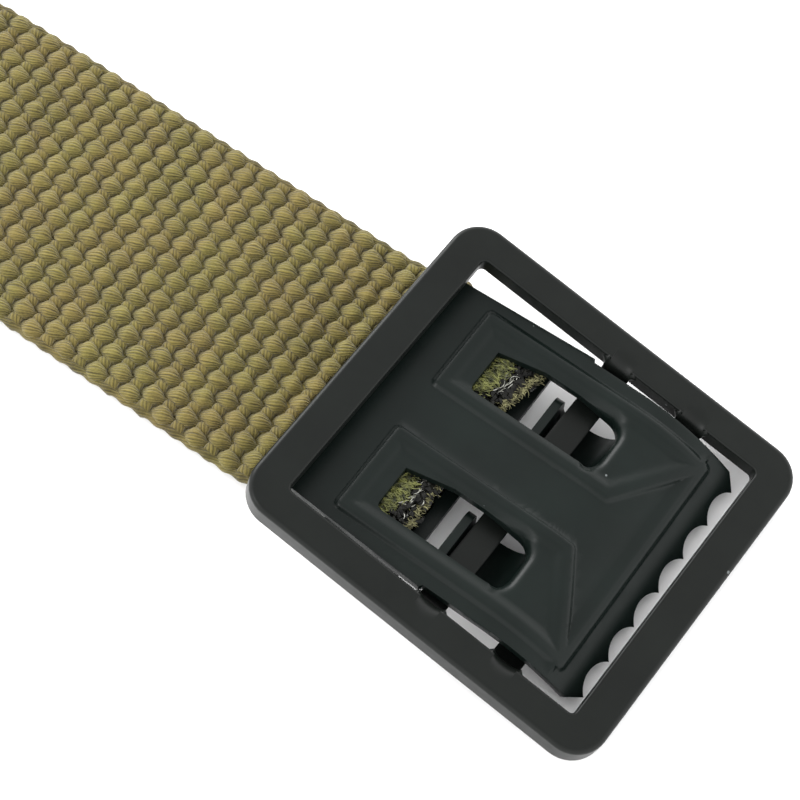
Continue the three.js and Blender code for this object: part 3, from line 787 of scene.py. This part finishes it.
def frame_ring():
    ring = rounded_block("buckle_frame", (0, -FRAME_HALF, -OUTER_WALL),
                         (FRAME_LENGTH, FRAME_HALF, 0), 3.7, 10)
    round_rim(ring, 0.6, 4)
    cut_away(ring, rounded_block("under", (SHEET, -FRAME_HALF + SHEET, -9),
                                 (FRAME_LENGTH - SHEET, FRAME_HALF - SHEET, -INNER_WALL), 2.7))
    channel = rounded_block("channel", (SHEET, -FRAME_HALF + SHEET, -9),
                            (FRAME_LENGTH - SHEET, FRAME_HALF - SHEET, -SHEET), 2.7)
    cut_away(channel, rounded_block("flange", (BAR_WIDTH - SHEET, -OPEN_HALF - SHEET, -10),
                                    (FRAME_LENGTH - BAR_WIDTH + SHEET, OPEN_HALF + SHEET, 1), 1.6))
    cut_away(ring, channel)
    cut_away(ring, rounded_block("opening", (BAR_WIDTH, -OPEN_HALF, -9),
                                 (FRAME_LENGTH - BAR_WIDTH, OPEN_HALF, 2), 0.6, 5))
    work_on(ring)
    edit_mode()

    def on_rim(co):
        return (abs(co.z) < 1e-4 and BAR_WIDTH - 0.01 < co.x < FRAME_LENGTH - BAR_WIDTH + 0.01
                and abs(co.y) < OPEN_HALF + 0.01)
    pick(ring, edge=lambda p, q: on_rim(p) and on_rim(q))
    bpy.ops.mesh.bevel(offset=0.3, segments=3)
    object_mode()
    for middle, width in BARS:
        for side in (-1, 1):
            y0, y1 = sorted((side * (OPEN_HALF - 1), side * (EAR_ROOT - 0.35)))
            cut_away(ring, start_block("notch", (middle - width / 2 + 0.3, y0, -9),
                                         (middle + width / 2 - 0.3, y1, 2)))
    return ring


ring = frame_ring()


# %% [markdown]
# Two cross bars hang from ears that bend down out of the long rails: the hooks hold the left one, and
# the strap is clamped on the right one. Each is a grid laid along its course. The ears' bend is tight
# at the sides and full in the middle, which gives them a soft crown.

# %% Frame: the two cross bars with their ears
def cross_bar(name, middle, width):
    """A flat grid hung along its length: level root, bend down, wall, bend in, and the bar."""
    bottom = -3.4
    half = OPEN_HALF - 0.55
    low = 1.0
    under_rail = 0.004
    piece = start_with(bpy.ops.mesh.primitive_grid_add, x_subdivisions=14, y_subdivisions=120, size=2)
    piece.name = name

    def hang(p):
        u, v = p[:, 0], p[:, 1]
        radius = 0.75 + 1.6 * np.sqrt(np.maximum(1.0 - u * u, 0.0))
        quarter = radius * math.pi / 2
        runs = [EAR_ROOT - half - radius, quarter, -bottom - radius - low,
                np.full_like(u, low * math.pi / 2), np.full_like(u, half - low)]
        edges = np.cumsum(runs, axis=0)
        s = (1.0 - np.abs(v)) * edges[4]
        upper = np.clip((s - edges[0]) / radius, 0, math.pi / 2)
        lower = np.clip((s - edges[2]) / low, 0, math.pi / 2)
        y = np.where(s < edges[0], EAR_ROOT - s, half + radius * (1 - np.sin(upper)))
        z = -radius * (1 - np.cos(upper)) - np.clip(s - edges[1], 0, runs[2])
        y = np.where(s > edges[2], half - low * (1 - np.cos(lower)) - np.maximum(s - edges[3], 0), y)
        z = np.where(s > edges[2], bottom + low * (1 - np.sin(lower)), z)
        crown = 0.12 * u ** 6 * rise((s - edges[0]) / quarter)
        return np.column_stack((middle + u * width / 2, np.where(v >= 0, y, -y), z - under_rail - crown))
    reshape(piece, hang)
    face_outward(piece)
    middle_face = piece.data.polygons[len(piece.data.polygons) // 2]
    thicken(piece, SHEET, -1.0 if middle_face.normal.z > 0 else 1.0)
    soften_edges(piece, 0.25, 3, 50.0)
    return piece


bars = [cross_bar("hinge_bar", *BARS[0]), cross_bar("clamp_bar", *BARS[1])]
for piece in [ring, *bars]:
    lay(piece, frame_place, BUCKLE_BODY, "black_steel", FRAME_STEEL)
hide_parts("frame")

# %% [markdown]
# The web is a plain weave of thick twisted cords. A warp cord passes over one pick of weft and under
# the next, and swells where it floats, so the face is a brick pattern of short plump floats, each
# tucked between its neighbours' ends. Where a cord dives, the pick that holds it down shows as a
# small patch. One period of a cord is modelled, repeated along its way, and copied side by side.

# %% The web's course
WEB_END = LEVER_X + 12.4
BELT_LENGTH = 1100.0
WEB_START = WEB_END - BELT_LENGTH
WEB_SHIFT = 0.85
WEB_CLIMB = 13.0
PINCH = 0.115
TIP_LENGTH = 14.0
TIP_LIFT = 0.8
TIP_CLIMB = 30.0
PERIOD = 4.45
CORDS = 23
PITCH = 1.37
PICK = PERIOD / 2
print("web from, to, mm:", round(WEB_START, 1), round(WEB_END, 1))


def web_middle(x):
    """Height of the web's middle line and the share of its full width, at x."""
    on_lever = LEVER_Z - (SHEET + 0.3 + WEB_THICKNESS / 2) - math.tan(LEVER_FALL) * (x - LEVER_X)
    climb = rise((x - LEVER_X - 5.0 + WEB_CLIMB) / WEB_CLIMB)
    tip_climb = rise((WEB_START + TIP_LENGTH + TIP_CLIMB - x) / TIP_CLIMB)
    table = WEB_THICKNESS / 2 + TIP_LIFT * tip_climb
    narrow = rise((x - LEVER_X) / 5.0)
    return table + (on_lever - table) * climb, 1.0 - PINCH * narrow


def follow_web(p):
    """Lays flat web coordinates (x along, y across, z off the middle) along the belt's course."""
    x = np.clip(p[:, 0], WEB_START, WEB_END)
    height, share = web_middle(x)
    shift = WEB_SHIFT * rise((x - WEB_END + 100.0) / 30.0) * (share - 1.0 + PINCH) / PINCH
    return np.column_stack((x, p[:, 1] * share + shift, p[:, 2] + height))


# %% [markdown]
# A cord could be a curve with a bevel, but its section changes as it weaves. So an open cylinder is
# sliced into rings, a formula gives each ring its height and half sizes, and Array repeats the period.

# %% One period of a cord, lying along X
def cord_period(sides, rings, length, path, half_width, half_height):
    """Path gives the cord's height, the other two its half sizes, for each share of a period."""
    cord = start_with(bpy.ops.mesh.primitive_cylinder_add, vertices=sides, radius=1, depth=length,
                      end_fill_type="NOTHING")
    slice_at(cord, [length * (i / rings - 0.5) for i in range(1, rings)], (0, 0, 1))

    def weave(p):
        share = p[:, 2] / length + 0.5
        around = np.arctan2(p[:, 1], p[:, 0])
        return np.column_stack((share * length, half_width(share) * np.cos(around),
                                path(share) + half_height(share) * np.sin(around)))
    reshape(cord, weave)
    face_outward(cord)
    return cord


def repeated(cord, count, length):
    """The period repeated end to end, with its two ends closed."""
    work_on(cord)
    repeat = cord.modifiers.new("repeat", "ARRAY")
    repeat.count = count
    repeat.use_relative_offset = False
    repeat.use_constant_offset = True
    repeat.constant_offset_displace = (length, 0, 0)
    repeat.use_merge_vertices = True
    repeat.merge_threshold = 0.001
    bpy.ops.object.modifier_apply(modifier=repeat.name)
    edit_mode()
    bpy.ops.mesh.select_all(action="SELECT")
    bpy.ops.mesh.fill_holes(sides=0)
    object_mode()
    return cord


def own_copy(piece):
    copy = piece.copy()
    copy.data = piece.data.copy()
    bpy.context.scene.collection.objects.link(copy)
    return copy


def join_up(copies, name):
    deselect_all()
    for copy in copies:
        copy.select_set(True)
    bpy.context.view_layer.objects.active = copies[0]
    bpy.ops.object.join()
    copies[0].name = name
    return copies[0]


def side_by_side(cord, name, places, vary=None):
    """Copies of a cord at the given places, joined into one piece."""
    copies = []
    for i, place in enumerate(places):
        copy = own_copy(cord)
        if vary:
            vary(copy, i)
        copy.data.transform(place)
        copies.append(copy)
    bpy.data.objects.remove(cord)
    return join_up(copies, name)


# %% [markdown]
# Warp cords run along the belt, half a period out of step with their neighbours. A power below 1 makes
# the wave squarer, so a float lies level and dives steeply. Seeded random numbers then make each float
# a little wider, higher or off its line.

# %% Warp: the cords along the belt
def warp_path(share):
    """Starts and ends at a dive, so two lengths of web join where they are hidden."""
    wave = -np.cos(share * math.tau)
    return 0.50 * np.sign(wave) * np.abs(wave) ** 0.65


def warp_half_width(share):
    return 0.58 + 0.50 * np.abs(np.cos(share * math.tau)) ** 0.65


def warp_half_height(share):
    return 0.50 + 0.09 * np.cos(share * math.tau) ** 2


def vary_floats(cord, shares, seed):
    generator = np.random.default_rng(seed)
    changes = generator.uniform(-1, 1, (shares + 4, 3))

    def vary(p):
        float_number = np.clip(np.floor(p[:, 0] / PICK + 0.5).astype(int), 0, shares + 3)
        near = np.cos(np.pi * (p[:, 0] / PICK - float_number)) ** 2
        skew = -0.11 * np.sin(math.tau * (p[:, 0] / PICK - float_number))
        wider, higher, aside = (changes[float_number] * near[:, None]).T
        return np.column_stack((p[:, 0] + 0.17 * aside,
                                p[:, 1] * (1 + 0.11 * wider) + 0.09 * aside + skew,
                                p[:, 2] + 0.07 * higher * np.sign(p[:, 2])))
    reshape(cord, vary)


def warp(name, start, periods, sides, rings):
    cord = repeated(cord_period(sides, rings, PERIOD, warp_path, warp_half_width, warp_half_height),
                    periods, PERIOD)
    places = []
    for i in range(CORDS):
        across = (i + 0.5 - CORDS / 2) * PITCH
        places.append(Matrix.Translation((start + (PICK if i % 2 else 0.0), across, 0)))
    cords = side_by_side(cord, name, places, lambda copy, i: vary_floats(copy, 2 * periods, i + 40))
    reshape(cords, follow_web)
    return cords


# %% [markdown]
# A weft pick crosses the belt under the raised warp cords and over the sunk ones, so its wave is the
# opposite of theirs. At the edge it turns back, and is drawn in here to a blunt loop.

# %% Weft: the picks across it
def weft_path(share):
    return -0.40 * np.cos(share * math.tau)


def weft_half_width(share):
    return np.full_like(share, 0.80)


def weft_half_height(share):
    return np.full_like(share, 0.43)


def weft(name, start, picks, sides, rings):
    length = 2 * PITCH
    cord = repeated(cord_period(sides, rings, length, weft_path, weft_half_width, weft_half_height),
                    CORDS // 2 + 2, length)
    places = []
    for k in range(picks):
        first = -(CORDS / 2 + 0.5) * PITCH - (PITCH if k % 2 else 0.0)
        places.append(Matrix.Translation((start + k * PICK, first, 0)) @ Matrix.Rotation(math.pi / 2, 4, "Z"))
    cords = side_by_side(cord, name, places)
    straight = (CORDS / 2 - 0.5) * PITCH

    def turn_at_selvedge(p):
        past = np.clip((np.abs(p[:, 1]) - straight) / PITCH, 0.0, 1.0)
        y = np.sign(p[:, 1]) * (np.minimum(np.abs(p[:, 1]), straight) + 1.12 * np.sin(past * math.pi / 2))
        low = np.cos(past * math.pi / 2) ** 0.6
        middle = start + PICK * np.round((p[:, 0] - start) / PICK)
        wide = (1.0 + 0.35 * past) * np.sqrt(1.0 - 0.9 * past ** 6)
        return follow_web(np.column_stack((middle + (p[:, 0] - middle) * wide, y, p[:, 2] * low)))
    reshape(cords, turn_at_selvedge)
    return cords


# %% [markdown]
# At each edge the turns of the picks lie packed like one thin knobbly cord, and are made as one.

# %% Selvedge
def turns_half(share):
    return 0.52 + 0.09 * np.cos(2 * share * math.tau)


def selvedge(name, start, periods, sides, rings):
    cord = repeated(cord_period(sides, rings, PERIOD, np.zeros_like, turns_half, turns_half), periods, PERIOD)
    edge = (CORDS / 2 - 0.5) * PITCH + 0.72
    cords = side_by_side(cord, name, [Matrix.Translation((start, side * edge, 0)) for side in (-1, 1)])
    reshape(cords, follow_web)
    return cords


# %% [markdown]
# The length beside the buckle is seen close up and gets round cords. The rest gets cords of six sides,
# which keeps the whole belt under a million triangles. Lengths meet at a dive, where it doesn't show.

# %% The web's woven lengths
NEAR_PERIODS = 19
NEAR_WARP = (14, 16)
NEAR_WEFT = (8, 8)
NEAR_SELVEDGE = (12, 16)
FAR_WARP = (6, 5)
FAR_WEFT = (4, 3)
FAR_SELVEDGE = (6, 6)
near_start = WEB_END - NEAR_PERIODS * PERIOD - 0.8
half_near = NEAR_PERIODS // 2 * PERIOD
webs = [
    warp("warp_near_buckle", near_start, NEAR_PERIODS // 2, *NEAR_WARP),
    warp("warp_at_buckle", near_start + half_near, NEAR_PERIODS - NEAR_PERIODS // 2, *NEAR_WARP),
]
wefts = [
    weft("weft_at_buckle", near_start, NEAR_PERIODS * 2, *NEAR_WEFT),
    selvedge("selvedge_at_buckle", near_start, NEAR_PERIODS, *NEAR_SELVEDGE),
]
far_periods = round((near_start - WEB_START) / PERIOD)
third = far_periods // 3
start = near_start
for i, count in enumerate((third, third, far_periods - 2 * third)):
    start -= count * PERIOD
    webs.append(warp(f"warp_length_{i + 1}", start, count, *FAR_WARP))
    wefts.append(weft(f"weft_length_{i + 1}", start, count * 2, *FAR_WEFT))
    wefts.append(selvedge(f"selvedge_length_{i + 1}", start, count, *FAR_SELVEDGE))
for piece in webs:
    lay(piece, shrink, STRAP_BODY, "cotton_web", WARP_COTTON, 180.0)
for piece in wefts:
    lay(piece, shrink, STRAP_BODY, "cotton_web", SHADED_WEFT_COTTON, 180.0)


# %% [markdown]
# Between the two faces of the weave lies one thin band. It closes the small gaps between the cords,
# and it runs the whole strap, laid flat, 32 mm by 1.1 m.

# %% The band between the two faces
def core_band():
    band = start_with(bpy.ops.mesh.primitive_grid_add, x_subdivisions=250, y_subdivisions=8, size=1)
    band.name = "web_picks"

    def follow(p):
        x = WEB_START + 0.6 + np.sqrt(p[:, 0] + 0.5) * (BELT_LENGTH - 1.2)
        return follow_web(np.column_stack((x, p[:, 1] * (WEB_WIDTH - 1.6), p[:, 2])))
    reshape(band, follow)
    thicken(band, 0.3)
    return band


# The band wears the weft's darker cotton: painted shade in the gaps between the cords.
picks = lay(core_band(), shrink, STRAP_BODY, "cotton_web", SHADED_WEFT_COTTON, 180.0)
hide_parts("strap")


# %% [markdown]
# The web was cut, dipped in black dye and clamped, and its last few millimetres have come loose under
# the lever's windows. Hair curves would be quick, but the export needs meshes. So one thin rod is
# copied many times, each copy bent, turned and sized by random numbers seeded with the tuft's name.

# %% Strewing fibres
def loose_fibres(name, count, radius, length, middles, spread, turn, lift, material):
    """Fibres strewn about each middle (a, t) of the lever's sheet, just under it."""
    chance = random.Random(name)
    rod = start_with(bpy.ops.mesh.primitive_cylinder_add, vertices=5, radius=1, depth=1,
                     end_fill_type="TRIFAN", rotation=(0, math.pi / 2, 0))
    bpy.ops.object.transform_apply()
    slice_at(rod, [i / 6 - 0.5 for i in range(1, 6)], (1, 0, 0))
    copies = []
    for i in range(count):
        a, t = middles[i % len(middles)]
        copy = own_copy(rod)
        long = length * chance.uniform(0.5, 1.2)
        thick = radius * chance.uniform(0.7, 1.3)
        bend = chance.uniform(-0.35, 0.35) * long
        arch = chance.uniform(0.0, 0.25) * long
        reshape(copy, lambda p: np.column_stack((
            p[:, 0] * long, p[:, 1] * thick * (1.2 - np.abs(p[:, 0])) + bend * p[:, 0] ** 2 * 4,
            p[:, 2] * thick * (1.2 - np.abs(p[:, 0])) + arch * (0.25 - p[:, 0] ** 2) * 4)))
        place = Vector((a + chance.gauss(0, spread[0]), t + chance.gauss(0, spread[1]),
                        -2.35 + chance.uniform(*lift)))
        copy.data.transform(Matrix.Translation(place)
                            @ Matrix.Rotation(math.radians(chance.gauss(turn[0], turn[1])), 4, "Z")
                            @ Matrix.Rotation(math.radians(chance.uniform(-12, 12)), 4, "Y"))
        copies.append(copy)
    bpy.data.objects.remove(rod)
    return lay(join_up(copies, name), lever_place, STRAP_BODY, "cotton_web", material, 60.0)


# %% [markdown]
# The tufts lie in three rows from left to right in each window: raw green fibre, black dye, and the
# tan fringe of the cut. Each row is a short list of middles that the fibres are strewn about.

# %% The cut end
RAW = [(9.1, 7.0), (9.6, 8.4), (9.7, 9.9), (8.9, -10.2), (9.4, -8.8), (9.6, -7.2)]
DYED = [(11.2, 7.4), (11.5, 9.2), (11.7, 10.8), (10.8, -9.8), (11.1, -8.0), (11.2, -6.2)]
CUT = [(13.25, 10.9), (12.95, 9.8), (12.7, 8.6), (12.5, 7.4), (12.3, 6.2),
       (11.9, -5.9), (12.0, -7.2), (12.1, -8.6), (12.3, -10.4)]
# Pale hairs strewn over the dye are painted glints: highlights on the shiny black.
PALE_GLINTS = [(11.4, 9.6), (11.2, 8.2), (10.9, -8.6), (11.1, -7.0)]
loose_fibres("green_fibres", 700, 0.05, 1.4, RAW, (0.55, 0.7), (15, 35), (0.9, 1.4), GREEN_FIBRE)
loose_fibres("dye_clots", 170, 0.26, 1.2, DYED, (0.6, 0.8), (60, 40), (0.75, 1.15), BLACK_DYE)
loose_fibres("tan_fringe", 520, 0.05, 0.75, CUT, (0.22, 0.5), (10, 40), (0.6, 1.2), TAN_FIBRE)
loose_fibres("pale_hairs", 46, 0.035, 1.1, PALE_GLINTS, (0.4, 0.7), (75, 22), (1.1, 1.4), WHITE_GLINT)

# %% [markdown]
# The far end has a plain metal tip, one sheet folded round the web and pressed on. It is a strip like
# the hooks, pulled along a straight run, a half circle and a straight run back.

# %% Strap tip
TIP_SHEET = 0.5
TIP_HALF = 16.6


def strap_tip():
    middle = WEB_THICKNESS / 2 + TIP_LIFT
    radius = WEB_THICKNESS / 2 + 0.3 + TIP_SHEET / 2
    points = path_of((WEB_START + TIP_LENGTH, middle + radius), math.pi, (
        (TIP_LENGTH, 0, 0), (0, 180, radius), (TIP_LENGTH, 0, 0)), 10.0)
    piece = strip("strap_tip_sheet", points, -TIP_HALF, TIP_HALF)
    thicken(piece, TIP_SHEET)
    soften_edges(piece, 0.12, 2, 50.0)
    return piece


tip = lay(strap_tip(), shrink, STRAP_BODY, "black_steel", FRAME_STEEL)
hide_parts("strap_tip")

# %% [markdown]
# A pale sheet of paper to lie on. It sits a fifth of a millimetre low, so that nothing sinks into it.

# %% Floor
FLOOR_DROP = 0.2 * MM
floor = start_with(bpy.ops.mesh.primitive_plane_add, size=8, location=(0, 0, -FLOOR_DROP))
floor.name = "floor"
paper = Nodes("paper")
paper_place = paper.add("ShaderNodeTexCoord").outputs["Object"]
paper.link(paper.ramp(paper.noise(paper_place, 40.0), [(0.3, (0.88, 0.88, 0.88)), (0.7, (0.91, 0.91, 0.91))]),
           paper.shader.inputs["Base Color"])
paper.shader.inputs["Roughness"].default_value = 0.9
floor.data.materials.append(paper.material)
print("floor at, mm:", -FLOOR_DROP / MM)

# %% [markdown]
# The light of a photographer's tent: a large even sky, brighter towards the horizon, keeps the floor
# almost white. A soft key from behind the web and a small lamp in front give cords and bends form.

# %% Light
world = bpy.data.worlds.new("studio")
bpy.context.scene.world = world
world.use_nodes = True
sky = world.node_tree.nodes
to_sky = world.node_tree.links.new
height = sky.new("ShaderNodeSeparateXYZ")
to_sky(sky.new("ShaderNodeTexCoord").outputs["Generated"], height.inputs["Vector"])
brightness = sky.new("ShaderNodeMapRange")
brightness.interpolation_type = "SMOOTHSTEP"
for socket, value in (("From Min", 0.35), ("From Max", 0.95), ("To Min", 2.9), ("To Max", 1.5)):
    brightness.inputs[socket].default_value = value
to_sky(height.outputs["Z"], brightness.inputs["Value"])
to_sky(brightness.outputs["Result"], sky["Background"].inputs["Strength"])
sky["Background"].inputs["Color"].default_value = (1.0, 1.0, 1.0, 1.0)


def soft_light(name, location, target, size, watts):
    data = bpy.data.lights.new(name, "AREA")
    data.size = size
    data.energy = watts
    lamp = bpy.data.objects.new(name, data)
    bpy.context.scene.collection.objects.link(lamp)
    lamp.location = location
    lamp.rotation_euler = (Vector(target) - Vector(location)).to_track_quat("-Z", "Y").to_euler()


soft_light("key", (-0.20, 0.34, 0.42), (0.52, 0, 0), 0.5, 7.0)
soft_light("front", (0.12, -0.56, 0.62), (0.54, 0, 0), 0.22, 2.0)
bpy.context.scene.view_settings.view_transform = "Standard"
